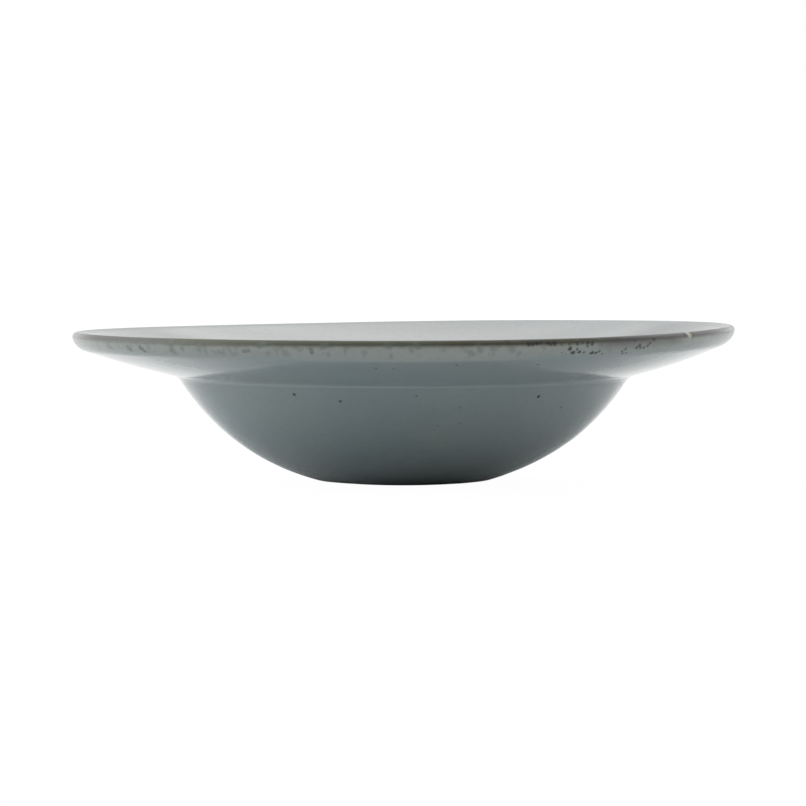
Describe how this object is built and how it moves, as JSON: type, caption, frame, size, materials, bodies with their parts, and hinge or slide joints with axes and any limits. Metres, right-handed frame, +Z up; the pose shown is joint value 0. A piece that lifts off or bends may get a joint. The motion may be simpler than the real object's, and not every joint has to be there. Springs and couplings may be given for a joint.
{
  "type": "pasta plate",
  "caption": "Deep round stoneware plate with a wide rising rim, a rounded well, a low foot ring and a glossy grey-blue glaze that turns olive brown at the lip.",
  "frame": {"origin": "middle of the foot ring, on the surface that the plate stands on", "axes": "+Z up along the axis that the plate is turned about; +X towards the side where the rim stands highest, which is the right of the picture"},
  "size_m": [0.275, 0.275, 0.0646],
  "materials": {
    "bare_stoneware": "bare fired stoneware, matt and slightly gritty",
    "face_glaze": "glossy pale grey-blue glaze with sparse iron specks",
    "edge_glaze": "glossy iron-rich glaze, olive brown, breaking unevenly into the grey-blue",
    "back_glaze": "glossy grey-blue glaze with sparse iron specks",
    "base_glaze": "glossy grey-blue glaze"
  },
  "bodies": {
    "root": {"clay_body": "bare_stoneware", "face_glaze": "face_glaze", "edge_glaze": "edge_glaze", "back_glaze": "back_glaze", "base_glaze": "base_glaze"}
  },
  "joints": []
}
